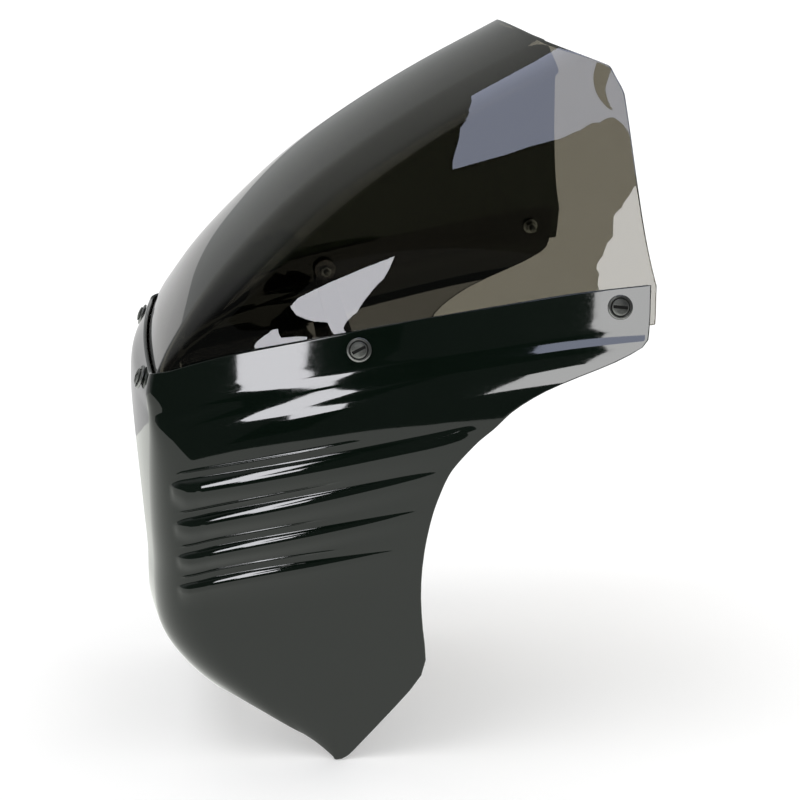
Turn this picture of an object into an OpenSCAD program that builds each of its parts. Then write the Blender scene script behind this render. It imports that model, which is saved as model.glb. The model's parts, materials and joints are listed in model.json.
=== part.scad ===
// Quarter fairing for a motorcycle: a moulded shell with four gills a side,
// a tinted screen held inside the shell's upper band by six slotted screws,
// and a pair of steel stays with swivelling fork clamps.
// Frame: millimetres, +Z up, -Y towards the front wheel, +Y towards the rider,
// X across. The origin is the centre of the headlight opening, on the plane of
// the shell's front face.

/* [Shell] */
// Half width of the shell's top edge at the front corners
half_w_front = 149; // [147:0.5:151]
// Half width of the shell's top edge at the rear
half_w_rear = 187; // [185:0.5:189]
// How far the shell reaches back from its front face
shell_depth = 364; // [362:0.5:366]
// Wall thickness of the moulded shell
wall = 3; // [2.6:0.1:3.2]
// Diameter of the headlight opening
opening_d = 184; // [176:1:186]
// How far each gill stands out of the side
gill_h = 6.5; // [4:0.25:7]

/* [Screen] */
// Thickness of the acrylic sheet
sheet = 3; // [2.5:0.1:3.2]
// Gap between the shell's band and the screen, filled by the rubber grommets
screen_gap = 1; // [0.8:0.1:1.2]
// Height of the screen's top edge at the middle, above the opening's centre
screen_top = 361; // [355:1:365]

/* [Screen screws] */
// Thread diameter of the screen screws
screw_d = 5; // [4.8:0.1:5]
// Diameter of the screws' slotted heads
head_d = 12; // [11:0.25:12.5]
// Outside diameter of the cup washers
cup_d = 17.4; // [16.5:0.1:17.6]

/* [Fork clamps] */
// Diameter of the fork tube that the clamps take
fork_d = 41; // [39:1:41]
// Distance between the two fork tubes' axes
fork_spacing = 188; // [186:1:190]
// Rake of the fork tubes from the vertical, in degrees
rake = 27; // [26:0.5:28]
// Width of a clamp along the fork tube
clamp_w = 24; // [20:1:26]
// Thickness of the clamps' rubber liners
liner_t = 3; // [2.5:0.25:3]
// Diameter of the pivot bolts
pivot_d = 8; // [8:1:8]

/* [Hidden] */
$fn = 48;

black = "#101214";
steel = "#b9bcc0";
zinc = "#9aa0a4";
rubber = "#1a1a1a";

// ---- curves through round-number stations ----
function at(t, x, i = 0) = i >= len(t) - 2 || x < t[i + 1][0] ? i : at(t, x, i + 1);
function tang(t, i) = i == 0 ? (t[1][1] - t[0][1]) / (t[1][0] - t[0][0])
  : i == len(t) - 1 ? (t[i][1] - t[i - 1][1]) / (t[i][0] - t[i - 1][0])
  : (t[i + 1][1] - t[i - 1][1]) / (t[i + 1][0] - t[i - 1][0]);
function herm(a, b, ta, tb, h, u) = a * (2 * pow(u, 3) - 3 * u * u + 1) + h * ta * (pow(u, 3) - 2 * u * u + u)
  + b * (3 * u * u - 2 * pow(u, 3)) + h * tb * (pow(u, 3) - u * u);
function curve(t, x) = let (n = len(t), xc = min(max(x, t[0][0]), t[n - 1][0]), i = at(t, xc), h = t[i + 1][0] - t[i][0])
  herm(t[i][1], t[i + 1][1], tang(t, i), tang(t, i + 1), h, (xc - t[i][0]) / h)
  + (x - xc) * (x < xc ? tang(t, 0) : tang(t, n - 1));
function mix(a, b, u) = a + (b - a) * u;
function unit(v) = v / norm(v);
function bez(a, b, c, d, u) = a * pow(1 - u, 3) + 3 * b * u * pow(1 - u, 2) + 3 * c * u * u * (1 - u) + d * pow(u, 3);

// ---- the shell's outer surface ----
// Height of the side's top edge against distance from the front
side_top = [[15, 126], [72, 142], [128, 153.5], [174, 163], [216, 170.5], [260, 178], [310, 186], [365, 192]];
// Front face at the middle: distance back from the front plane, against height
front_face = [[-130, 56], [-116, 44], [-105, 34], [-90, 22], [-75, 13], [-60, 8], [-40, 5.5], [-15, 4.5], [15, 2.2],
  [50, 0.5], [80, 0], [104, 0.2], [116, 2], [123, 6], [129.3, 10.5]];
// How far the front face falls back by 110 mm from the middle, against height
front_bow = [[-130, 6], [-60, 8], [100, 8.5], [116, 6.5], [129.3, 3]];
// Rear edge of the side: distance back, against height
rear_edge = [[-173, 150], [-171, 154], [-164, 160.5], [-141, 180], [-114, 202], [-102, 209], [-90, 211], [-68, 208.5], [-40, 206.5], [-10, 207.5],
  [20, 212], [40, 217.5], [60, 226], [81, 243], [92, 255], [106, 269], [119, 289], [128, 308.5], [139, 335], [146, 349], [151, 357], [158, 361.5], [192, 364]];
// Sideways swell of the side below the top edge, against depth under that edge
side_swell = [[0, 0], [10, 2.2], [20, 4.4], [30, 6.6], [34, 9], [40, 11.8], [50, 14.3], [62, 15.3], [78, 14.8],
  [100, 12.8], [140, 8], [200, -1], [260, -9], [330, -19]];
// Radius of the front corners, against depth under the top edge
corner_r = [[0, 13], [20, 16], [34, 21], [60, 30], [100, 36], [170, 40], [250, 42]];
// Lower edge: height against the position along the surface (0 middle, 1 to 2 corner, 3 rear tip)
lower_edge = [[0, -124], [1, -122], [1.25, -120], [1.5, -119.5], [1.75, -131], [2, -152.5], [2.2, -166], [2.4, -171.5], [2.7, -173.5], [3, -173]];
band_h = 31;

function top_z(y) = curve(side_top, y);
function side_x(y, z) = let (d = top_z(y) - z)
  mix(half_w_front, half_w_rear, (y - 21) / (shell_depth - 21)) * 1
  - 0.04 * max(0, min(y, 260) - 21) * min(1, max(0, (d - 40) / 160)) + curve(side_swell, d);
function face_y(x, z) = let (zz = z + 3 * pow(x / 149, 2)) curve(front_face, zz) + curve(front_bow, zz) * pow(x / 110, 2);

// Height of a point: r 0 to 1 in the band, 1 to 2 below it
function edge_z(c) = c <= 1 ? 129.3 - 3 * pow(c * 0.9, 2)
  : c <= 2 ? mix(126.9, top_z(30), c - 1) : top_z(mix(30, shell_depth, c - 2));
gill_front = [28.5, 31, 32, 32];
gill_tail = [240, 228, 208, 194];
gill_top = [59, 30.5, 6.5, -14.5];
gill_rise = [0.165, 0.18, 0.155, 0.115];
function gill_line(c, k) = gill_top[k] + gill_rise[k] * (max(0, c - 2) * (k == 0 ? 205 : 165) + 6);
function row_z(c, r) = let (e = edge_z(c), b = e - band_h * (c < 1 ? 0.9 : c < 2 ? mix(0.9, 1, c - 1) : 1),
    g0 = gill_line(c, 0) + 5, g3 = gill_line(c, 3) - 24)
  r <= 1 ? mix(e, b, r)
  : r <= 1.2 ? mix(b, g0, (r - 1) / 0.2)
  : r <= 1.7 ? mix(g0, g3, (r - 1.2) / 0.5)
  : mix(g3, curve(lower_edge, c), (r - 1.7) / 0.3);

// The plan of the front corner at a height: start, two handles, end
function corner(z, d) = let (r = curve(corner_r, d), xw = side_x(40, z), x0 = xw - r, y0 = face_y(x0, z),
    y3 = y0 + r, x3 = side_x(y3, z), s0 = (face_y(x0 + 1, z) - face_y(x0 - 1, z)) / 2, s1 = (side_x(y3 + 1, z) - side_x(y3 - 1, z)) / 2, k = 0.56)
  [[x0, y0], [x0 + k * r, y0 + k * r * s0], [x3 - k * r * s1, y3 - k * r], [x3, y3]];

// How far each gill's upper edge bends from a straight line, and how far below it the crest lies, against distance back
gill_bend = [[[28, -3], [39, -2.6], [119, -1.8], [207, 1.4], [240, 3.4]], [[28, -5], [37, -4], [60, -2.6], [119, -1.8], [207, 0.6], [228, 1]],
  [[28, -8], [37, -7], [60, -4.4], [119, -2.8], [208, -1.1]], [[28, -12], [37, -10.5], [60, -6.8], [119, -3.7], [194, -3.3]]];
gill_crest = [[[28, 8], [40, 11], [119, 12.5], [200, 14], [240, 16]], [[28, 6.5], [40, 8.5], [119, 9.7], [205, 9], [228, 8]],
  [[28, 5.5], [40, 7.2], [119, 8.2], [208, 6.5]], [[28, 5], [40, 6.6], [119, 8], [180, 5], [194, 4]]];
// One raised gill: a sharp valley above, a round crest at 1, a long fall below
function ridge(w) = w < 0 || w > 2.45 ? 0 : w < 1 ? w * (2.25 - 1.5 * w + 0.25 * w * w) * min(1, w * 5)
  : let (u = (2.45 - w) / 1.45) u * u * (3 - 2 * u);
function gill(k, y, z) = let (u = (y - gill_front[k]) / (gill_tail[k] - gill_front[k]), c = max(28, min(gill_tail[k], y)),
    top = gill_top[k] + gill_rise[k] * (c - 39) + curve(gill_bend[k], c), h = curve(gill_crest[k], c), mid = top - 0.62 * h,
    n = min(1, max(0, (y - gill_front[k]) / 9)), nose = max(0.12, sqrt(n * (2 - n))))
  u <= 0 || u >= 1 ? 0 : min(1, sqrt(u * 20)) * pow(1 - u, 0.7) * pow(h / 11.5, 0.8)
    * ridge(z > mid ? 0.62 - (z - mid) / nose / h : (top - z) / h);
function gills(y, z) = gill_h * max([for (k = [0:3]) gill(k, y, z)]);

// Inward roll of the shell along its lower edges
function roll(c, r) = let (b = r > 1.7 ? (r - 1.7) / 0.3 : 0) 5 * pow(b, 6) * (c > 2 ? max(0, 1 - (c - 2) / 0.4) : 1);

function shell_pt(c, r, plain = false) = let (z = row_z(c, r), d = edge_z(c) - z, k = corner(z, d))
  c <= 1 ? let (x = c * k[0][0]) [x, face_y(x, z) + roll(c, r), z]
  : c <= 2 ? let (p = bez(k[0], k[1], k[2], k[3], c - 1), u = roll(c, r), g = plain || c < 1.4 ? 0 : gills(p[1], z))
    [p[0] - u * (c - 1) + g * 0.9, p[1] + u * (2 - c) - g * 0.9 * (2 - c), z]
  : let (y = mix(k[3][1], curve(rear_edge, z), c - 2)) [side_x(y, z) - roll(c, r) + (plain ? 0 : gills(y, z)), y, z];
function shell_n(c, r) = let (e = 0.01, a = shell_pt(min(c + e, 3), r, true) - shell_pt(max(c - e, 0.0), r, true),
    b = shell_pt(c, max(r - e, 0), true) - shell_pt(c, min(r + e, 2), true)) unit(cross(b, a) * -1);
function flip(p, s) = [p[0] * s, p[1], p[2]];

cols = [0, 0.17, 0.34, 0.5, 0.66, 0.83, 1, 1.14, 1.28, 1.42, 1.56, 1.7, 1.85, 2, 2.04, 2.09, 2.15, 2.22, 2.3, 2.38,
  2.46, 2.54, 2.62, 2.7, 2.77, 2.84, 2.9, 2.95, 3];
nc = len(cols);
band_rows = [0, 0.2, 0.42, 0.62, 0.84, 1];
rows = concat(band_rows, [for (i = [1:9]) 1 + 0.2 * i / 9], [for (i = [1:27]) 1.2 + 0.5 * i / 27], [for (u = [0.12, 0.26, 0.42, 0.6, 0.76, 0.88, 0.95, 1]) 1.7 + 0.3 * u]);
nr = len(rows);

// Joins an outer and an inner grid of points, w across and h down, into one closed solid
module skin(outer, inner, w, h) {
  n = w * h;
  quads = [for (i = [0:w - 2], j = [0:h - 2]) [i * h + j, i * h + j + 1, (i + 1) * h + j + 1, (i + 1) * h + j]];
  front = [for (q = quads, s = [0, 1]) s == 0 ? [q[2], q[1], q[0]] : [q[3], q[2], q[0]]];
  back = [for (q = quads, s = [0, 1]) s == 0 ? [q[0] + n, q[1] + n, q[2] + n] : [q[0] + n, q[2] + n, q[3] + n]];
  rim = concat([for (i = [0:w - 2]) i * h], [for (j = [0:h - 2]) (w - 1) * h + j],
    [for (i = [w - 1:-1:1]) i * h + h - 1], [for (j = [h - 1:-1:1]) j]);
  m = len(rim);
  sides = [for (i = [0:m - 1], s = [0, 1]) let (a = rim[i], b = rim[(i + 1) % m]) s == 0 ? [a, b, b + n] : [a, b + n, a + n]];
  polyhedron(points = concat(outer, inner), faces = concat(front, back, sides), convexity = 8);
}
// Columns run from the right-hand rear edge round the front to the left-hand one
function wrap(i) = i < nc - 1 ? [-1, cols[nc - 1 - i]] : [1, cols[i - nc + 1]];
nw = 2 * nc - 1;

module fairing_shell() {
  out = [for (i = [0:nw - 1], r = rows) let (w = wrap(i)) flip(shell_pt(w[1], r), w[0])];
  in = [for (i = [0:nw - 1], r = rows) let (w = wrap(i), p = shell_pt(w[1], r, true), q = shell_pt(w[1], r))
    flip(mix(p, q, 0.7) - wall * shell_n(w[1], r), w[0])];
  color(black) difference() {
    skin(out, in, nw, nr);
    translate([0, -20, 0]) rotate([-90, 0, 0]) cylinder(d = opening_d, h = 90, $fn = 96);
    for (s = screw_at) along(s) translate([0, 0, -8]) cylinder(d = screw_d + 0.6, h = 12);
  }
}

// ---- the screen ----
offs = wall + screen_gap;
// The free part of the screen, against position up it (0 the shell's top edge, 1 the screen's top edge).
// Middle of the front: distance back, height
mid_y = [[0, 14.8], [0.08, 24.5], [0.2, 48.5], [0.35, 83], [0.5, 124], [0.65, 170], [0.8, 224], [1, 288]];
mid_z = [[0, 129.5], [0.08, 150], [0.2, 186], [0.35, 223], [0.5, 261], [0.65, 294.5], [0.8, 328], [1, screen_top + 1.4]];
// Shoulder between front and side, as if sharp: half width, distance back, height
edge_x = [[0, 147], [0.08, 146], [0.2, 143.5], [0.35, 139], [0.5, 134.5], [0.65, 129.5], [0.8, 124], [1, 117]];
edge_y = [[0, 22.5], [0.08, 33], [0.2, 58], [0.35, 92], [0.5, 133], [0.65, 178], [0.8, 232], [1, 308.5]];
edge_h = [[0, 130], [0.08, 147], [0.2, 178], [0.35, 213.5], [0.5, 250], [0.65, 281.5], [0.8, 313.5], [1, screen_top - 9.5]];
// Rear edge: half width, distance back, height
rear_x = [[0, 183.5], [0.25, 170.5], [0.5, 157.5], [0.75, 143], [1, 127.5]];
rear_y = [[0, 366.3], [0.25, 362.2], [0.5, 358.6], [0.75, 355.6], [1, 352.5]];
rear_z = [[0, 192], [0.25, 228], [0.5, 263.5], [0.75, 299.5], [1, screen_top - 26]];
// Radius of the shoulder
edge_r = [[0, 9], [0.1, 20], [0.3, 34], [0.6, 34], [1, 26]];

function section(c, t) = let (f = [0, curve(mid_y, t), curve(mid_z, t)], k = [curve(edge_x, t), curve(edge_y, t), curve(edge_h, t)],
    b = [curve(rear_x, t), curve(rear_y, t), curve(rear_z, t)], r = curve(edge_r, t), x1 = k[0] - r,
    d = [0, k[1] - f[1], k[2] - f[2]], l = norm(b - k), v1 = r / l, v = c <= 2 ? v1 : mix(v1, 1, c - 2),
    swell = (1 - pow(1 - min(1, max(0, t / 0.45)), 2)) * 3.5 * [1, 0, 0.3])
  c <= 1 ? f + d * pow(c * x1 / k[0], 2) + [c * x1, 0, 0]
  : let (e = k + (b - k) * v + swell * 4 * v * (1 - v))
  c >= 2 ? e
  : let (a = f + d * pow(x1 / k[0], 2) + [x1, 0, 0], ta = [1, 0, 0] + d * 2 * x1 / pow(k[0], 2), te = (b - k) / l + swell * 4 * (1 - 2 * v1) / l)
    bez(a, a + ta * 0.56 * r, e - te * 0.56 * r, e, c - 1);
function rear_back(c) = c > 2.6 ? 4.5 * pow((c - 2.6) / 0.4, 2) : 0;
function band_pt(c, r) = shell_pt(c, r, true) - offs * shell_n(c, r) + [0, rear_back(c), 0];
function screen_at(c, t) = t <= 0 ? band_pt(c, 0.84 * -t)
  : section(c, t) + (t < 0.42 ? (band_pt(c, 0) - section(c, 0)) * pow(1 - t / 0.42, 3) : [0, 0, 0]);
// Rounds the top rear corner
round_c = 2.52;
round_t = 0.885;
function rounded(c, t) = let (u = max(0, (c - round_c) / (3 - round_c)), v = max(0, (t - round_t) / (1 - round_t)))
  [u > 0 ? mix(round_c, 3, u * sqrt(1 - v * v / 2)) : c, v > 0 ? mix(round_t, 1, v * sqrt(1 - u * u / 2)) : t];
function screen_n(c, t) = t <= 0 ? shell_n(c, 0.84 * -t)
  : let (e = 0.01, a = screen_at(min(c + e, 3), t) - screen_at(max(c - e, 0), t), b = screen_at(c, min(t + e, 1)) - screen_at(c, max(t - e, 0.0001)))
    unit(cross(a, b));
screen_t = [-1, -0.74, -0.5, -0.24, 0, 0.04, 0.09, 0.15, 0.22, 0.3, 0.38, 0.46, 0.54, 0.62, 0.7, 0.77, 0.83, 0.885, 0.925, 0.96, 0.985, 1];
screen_cols = [0, 0.17, 0.34, 0.5, 0.66, 0.83, 1, 1.12, 1.24, 1.36, 1.48, 1.6, 1.72, 1.86, 2, 2.08, 2.16, 2.25, 2.34, 2.43,
  2.52, 2.61, 2.7, 2.78, 2.85, 2.91, 2.96, 3];
ns = len(screen_cols);
function screen_wrap(i) = i < ns - 1 ? [-1, screen_cols[ns - 1 - i]] : [1, screen_cols[i - ns + 1]];

module windscreen() {
  h = len(screen_t);
  w = 2 * ns - 1;
  cell = [for (i = [0:w - 1], j = [h - 1:-1:0]) let (q = screen_wrap(i), m = rounded(q[1], screen_t[j])) [q[0], m[0], m[1]]];
  out = [for (q = cell) flip(screen_at(q[1], q[2]), q[0])];
  in = [for (i = [0:len(cell) - 1]) let (q = cell[i]) out[i] - sheet * flip(screen_n(q[1], q[2]), q[0])];
  color("#3b3a33", 0.7) difference() {
    skin(out, in, w, h);
    for (s = screw_at) along(s) translate([0, 0, -12]) cylinder(d = grommet_d + 0.2, h = 12);
  }
}

// ---- screen screws ----
grommet_d = 9;
// Position along the surface and down the band, and side, of each screw
screw_cr = [[0.8, 0.34], [2.4, 0.45], [2.936, 0.4]];
screw_at = [for (s = [-1, 1], k = screw_cr) [flip(shell_pt(k[0], k[1], true), s), flip(shell_n(k[0], k[1]), s), k[0]]];
// Puts a child's +Z along the surface's outward direction, with zero at the surface
module along(s) {
  n = s[1];
  translate(s[0]) rotate([0, acos(n[2]), atan2(n[1], n[0])]) children();
}
tab_at = 2.4;

module screen_screws() {
  color(zinc) for (s = screw_at) along(s) difference() {
    union() {
      translate([0, 0, 0.9]) cylinder(d1 = screw_d, d2 = head_d, h = 2.6);
      translate([0, 0, 3.5]) intersection() {
        cylinder(d = head_d, h = 3);
        translate([0, 0, -16.2]) sphere(r = 17.4, $fn = 64);
      }
      translate([0, 0, -19]) cylinder(d = screw_d, h = 21);
    }
    translate([-6, -1.1, 2.7]) cube([12, 2.2, 4]);
  }
}
module cup_washers() {
  color("#6d6f70") for (s = screw_at) along(s) difference() {
    rotate_extrude() polygon([[2.8, 0.35], [8.1, 0.35], [8.7, 0.75], [8.7, 1.3], [8.3, 1.9], [7.2, 2.3], [6.6, 2.2], [6.35, 3.3], [3.05, 0.75]]);
  }
}
module screen_grommets() {
  color(rubber) for (s = screw_at) along(s) difference() {
    union() {
      translate([0, 0, -8.45]) cylinder(d = grommet_d - 0.1, h = 4.45);
      translate([0, 0, -8.45]) cylinder(d = 10, h = 0.2);
    }
    translate([0, 0, -9]) cylinder(d = screw_d + 0.1, h = 9);
  }
}
module screen_washers() {
  color(zinc) for (s = screw_at) along(s) difference() {
    translate([0, 0, -9.5]) cylinder(d = 12.5, h = 1);
    translate([0, 0, -10]) cylinder(d = screw_d + 0.1, h = 2);
  }
}
module screen_nuts() {
  color(zinc) for (s = screw_at) along(s) {
    lift = s[2] == tab_at ? 2.5 : 0;
    translate([0, 0, -14 - lift]) difference() {
      union() {
        cylinder(d = 9.2, h = 4.5, $fn = 6);
        cylinder(d = 7.6, h = 4.4);
      }
      translate([0, 0, -1]) cylinder(d = screw_d + 0.1, h = 8);
    }
  }
}

// ---- stays, inside the shell ----
fork_x = fork_spacing / 2;
fork_y0 = 148;
tilt = [0, sin(rake), cos(rake)];
upper_l = 70;
lower_l = -52;
upper_c = [fork_x, fork_y0, 0] + tilt * upper_l;
lower_c = [fork_x, fork_y0, 0] + tilt * lower_l;
plate_x = fork_x + 33;
bar_t = 4;
tab = [for (s = screw_at) if (s[2] == tab_at && s[0][0] > 0) s][0];
stud_c = 2.42;
stud_r = 1.78;
stud = [shell_pt(stud_c, stud_r, true), shell_n(stud_c, stud_r), stud_c];

module stay() {
  difference() {
    union() {
      // Upright bar between the two clamp pivots
      hull() for (p = [upper_c, lower_c]) translate([plate_x, p[1], p[2]]) rotate([0, 90, 0]) cylinder(d = 30, h = bar_t, $fn = 32);
      // Upper arm out to the middle screen screw
      hull() {
        translate([plate_x + 0.4, upper_c[1] - 11, upper_c[2] + 8.4]) cube([bar_t - 0.8, 22, 6]);
        along(tab) translate([8.5, -7.5, -11.7]) cube([3, 15, 1.9]);
      }
      along(tab) translate([1, -7.3, -11.8]) cube([10, 14.6, 2.1]);
      along(tab) translate([0, 0, -12]) cylinder(d = 18, h = 2.5);
      // Lower arm out to the stud
      hull() {
        translate([plate_x + 0.4, lower_c[1] - 11, lower_c[2] - 14.6]) cube([bar_t - 0.8, 22, 6]);
        along(stud) translate([-12.5, -7.5, -wall - 5.3]) cube([3, 15, 2.4]);
      }
      along(stud) translate([-12, -7.3, -wall - 5.4]) cube([11, 14.6, 2.6]);
      along(stud) translate([0, 0, -wall - 5.6]) cylinder(d = 19, h = 3);
    }
    along(tab) translate([0, 0, -16]) cylinder(d = screw_d + 0.4, h = 10);
    along(stud) translate([0, 0, -wall - 12]) cylinder(d = 6.4, h = 14);
    for (p = [upper_c, lower_c]) translate([plate_x - 1, p[1], p[2]]) rotate([0, 90, 0]) cylinder(d = pivot_d + 0.1, h = bar_t + 2);
  }
}
module left_stay() color("#2b2d2f") stay();
module right_stay() color("#2b2d2f") mirror([1, 0, 0]) stay();

module stud_plate() along(stud) {
  translate([0, 0, -wall - 2.4]) cylinder(d = 30, h = 1.9);
  translate([0, 0, -wall - 17]) cylinder(d = 6, h = 15.5);
}
module left_stud_plate() color(steel) stud_plate();
module right_stud_plate() color(steel) mirror([1, 0, 0]) stud_plate();
module stay_washers() color(zinc) for (s = [0, 1]) mirror([s, 0, 0]) along(stud) difference() {
  translate([0, 0, -wall - 6.8]) cylinder(d = 13, h = 1.2);
  translate([0, 0, -wall - 8]) cylinder(d = 6.1, h = 4);
}
module stay_nuts() color(zinc) for (s = [0, 1]) mirror([s, 0, 0]) along(stud) difference() {
  translate([0, 0, -wall - 12]) cylinder(d = 11.5, h = 5.2, $fn = 6);
  translate([0, 0, -wall - 14]) cylinder(d = 6.1, h = 10);
}

// ---- fork clamps ----
bore_r = fork_d / 2 + liner_t;
ring_r = bore_r + 5;
ear = ring_r + 6.5;
// A clamp's own frame: Z along the fork tube, X across the bike, Y towards the rear
module on_fork(side, l) {
  mirror([side > 0 ? 0 : 1, 0, 0]) translate([fork_x, fork_y0, 0] + tilt * l) rotate([-rake, 0, 0]) children();
}
module clamp_half() {
  difference() {
    union() {
      translate([0, 0, -clamp_w / 2]) cylinder(r = ring_r, h = clamp_w, $fn = 64);
      translate([-12, -ear - 5.5, -clamp_w / 2]) cube([24, 2 * ear + 11, clamp_w]);
    }
    translate([0, 0, -clamp_w / 2 - 1]) cylinder(r = bore_r, h = clamp_w + 2, $fn = 64);
    translate([-60, -60, -clamp_w]) cube([61, 120, 2 * clamp_w]);
    for (s = [-1, 1]) translate([0, s * ear, 0]) rotate([0, 90, 0]) cylinder(d = 6.4, h = 40);
    // ears are stepped back outside the ring
    for (s = [-1, 1]) translate([12, s * (ring_r + 20) - 20 , -clamp_w]) cube([20, 40, 2 * clamp_w]);
  }
}
module clamp_body() {
  difference() {
    union() {
      clamp_half();
      translate([ring_r - 1.5, 0, 0]) rotate([0, 90, 0]) cylinder(d = 20, h = 33 - 0.3 - ring_r + 1.5);
    }
    translate([bore_r + 1.5, 0, 0]) rotate([0, 90, 0]) cylinder(d = pivot_d + 0.1, h = 40);
  }
}
module clamp_cap() mirror([1, 0, 0]) clamp_half();
module liner() difference() {
  translate([0, 0, -clamp_w / 2]) cylinder(r = bore_r - 0.05, h = clamp_w, $fn = 64);
  translate([0, 0, -clamp_w / 2 - 1]) cylinder(d = fork_d, h = clamp_w + 2, $fn = 64);
  translate([-0.6, 0, -clamp_w]) cube([1.2, 60, 2 * clamp_w]);
}
module pinch_bolts() for (s = [-1, 1]) translate([0, s * ear, 0]) {
  translate([-20, 0, 0]) rotate([0, 90, 0]) cylinder(d = 6, h = 32.5);
  difference() {
    translate([12, 0, 0]) rotate([0, 90, 0]) cylinder(d = 10, h = 6);
    translate([15, 0, 0]) rotate([0, 90, 0]) cylinder(d = 5.8, h = 6, $fn = 6);
  }
}
module pinch_nuts() for (s = [-1, 1]) translate([0, s * ear, 0]) difference() {
  translate([-17.2, 0, 0]) rotate([0, 90, 0]) cylinder(d = 11.5, h = 5.2, $fn = 6);
  translate([-20, 0, 0]) rotate([0, 90, 0]) cylinder(d = 6.1, h = 10);
}
module pivot_bolt() {
  translate([bore_r + 2, 0, 0]) rotate([0, 90, 0]) cylinder(d = pivot_d, h = 33 + bar_t - bore_r - 1);
  translate([33 + bar_t + 0.2, 0, 0]) rotate([0, 90, 0]) cylinder(d = 14.5, h = 5.3, $fn = 6);
}

module upper_left_clamp() color(black) on_fork(1, upper_l) clamp_body();
module upper_left_clamp_cap() color(black) on_fork(1, upper_l) clamp_cap();
module upper_left_liner() color(rubber) on_fork(1, upper_l) liner();
module upper_left_pinch_bolts() color(steel) on_fork(1, upper_l) pinch_bolts();
module upper_left_pinch_nuts() color(steel) on_fork(1, upper_l) pinch_nuts();
module upper_left_pivot_bolt() color(steel) on_fork(1, upper_l) pivot_bolt();
module lower_left_clamp() color(black) on_fork(1, lower_l) clamp_body();
module lower_left_clamp_cap() color(black) on_fork(1, lower_l) clamp_cap();
module lower_left_liner() color(rubber) on_fork(1, lower_l) liner();
module lower_left_pinch_bolts() color(steel) on_fork(1, lower_l) pinch_bolts();
module lower_left_pinch_nuts() color(steel) on_fork(1, lower_l) pinch_nuts();
module lower_left_pivot_bolt() color(steel) on_fork(1, lower_l) pivot_bolt();
module upper_right_clamp() color(black) on_fork(-1, upper_l) clamp_body();
module upper_right_clamp_cap() color(black) on_fork(-1, upper_l) clamp_cap();
module upper_right_liner() color(rubber) on_fork(-1, upper_l) liner();
module upper_right_pinch_bolts() color(steel) on_fork(-1, upper_l) pinch_bolts();
module upper_right_pinch_nuts() color(steel) on_fork(-1, upper_l) pinch_nuts();
module upper_right_pivot_bolt() color(steel) on_fork(-1, upper_l) pivot_bolt();
module lower_right_clamp() color(black) on_fork(-1, lower_l) clamp_body();
module lower_right_clamp_cap() color(black) on_fork(-1, lower_l) clamp_cap();
module lower_right_liner() color(rubber) on_fork(-1, lower_l) liner();
module lower_right_pinch_bolts() color(steel) on_fork(-1, lower_l) pinch_bolts();
module lower_right_pinch_nuts() color(steel) on_fork(-1, lower_l) pinch_nuts();
module lower_right_pivot_bolt() color(steel) on_fork(-1, lower_l) pivot_bolt();

fairing_shell();
windscreen();
screen_screws();
cup_washers();
screen_grommets();
screen_washers();
screen_nuts();
left_stay();
right_stay();
left_stud_plate();
right_stud_plate();
stay_washers();
stay_nuts();
upper_left_clamp();
upper_left_clamp_cap();
upper_left_liner();
upper_left_pinch_bolts();
upper_left_pinch_nuts();
upper_left_pivot_bolt();
lower_left_clamp();
lower_left_clamp_cap();
lower_left_liner();
lower_left_pinch_bolts();
lower_left_pinch_nuts();
lower_left_pivot_bolt();
upper_right_clamp();
upper_right_clamp_cap();
upper_right_liner();
upper_right_pinch_bolts();
upper_right_pinch_nuts();
upper_right_pivot_bolt();
lower_right_clamp();
lower_right_clamp_cap();
lower_right_liner();
lower_right_pinch_bolts();
lower_right_pinch_nuts();
lower_right_pivot_bolt();
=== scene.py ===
# Visual model of the quarter fairing with its smoked screen, over the CAD frame.
import json
import math
import bpy
import bmesh
import numpy as np
from mathutils import Matrix, Vector


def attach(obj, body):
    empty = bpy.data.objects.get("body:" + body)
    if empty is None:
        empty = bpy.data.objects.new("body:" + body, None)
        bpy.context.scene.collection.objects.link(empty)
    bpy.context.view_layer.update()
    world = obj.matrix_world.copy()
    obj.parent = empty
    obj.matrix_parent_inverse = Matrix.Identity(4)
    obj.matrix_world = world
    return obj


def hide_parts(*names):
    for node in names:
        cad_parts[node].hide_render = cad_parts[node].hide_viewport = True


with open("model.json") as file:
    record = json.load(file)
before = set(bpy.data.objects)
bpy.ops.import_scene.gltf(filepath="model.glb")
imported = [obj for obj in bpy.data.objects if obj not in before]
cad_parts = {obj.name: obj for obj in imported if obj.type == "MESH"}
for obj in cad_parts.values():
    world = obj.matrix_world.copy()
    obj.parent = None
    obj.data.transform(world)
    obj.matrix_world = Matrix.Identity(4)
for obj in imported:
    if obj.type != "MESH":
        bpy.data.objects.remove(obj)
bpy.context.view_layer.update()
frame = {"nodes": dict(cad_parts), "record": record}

MM = 0.001


# ---------------------------------------------------------------- curves
def curve(table, x):
    t = np.array(table, float)
    X, Y = t[:, 0], t[:, 1]
    tg = np.empty(len(X))
    tg[0] = (Y[1] - Y[0]) / (X[1] - X[0])
    tg[-1] = (Y[-1] - Y[-2]) / (X[-1] - X[-2])
    tg[1:-1] = (Y[2:] - Y[:-2]) / (X[2:] - X[:-2])
    x = np.asarray(x, float)
    xc = np.clip(x, X[0], X[-1])
    i = np.clip(np.searchsorted(X, xc, side="right") - 1, 0, len(X) - 2)
    h = X[i + 1] - X[i]
    u = (xc - X[i]) / h
    r = Y[i] * (2 * u**3 - 3 * u * u + 1) + h * tg[i] * (u**3 - 2 * u * u + u) + Y[i + 1] * (3 * u * u - 2 * u**3) + h * tg[i + 1] * (u**3 - u * u)
    return r + (x - xc) * np.where(x < xc, tg[0], tg[-1])


def mix(a, b, u):
    return a + (b - a) * u


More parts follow.
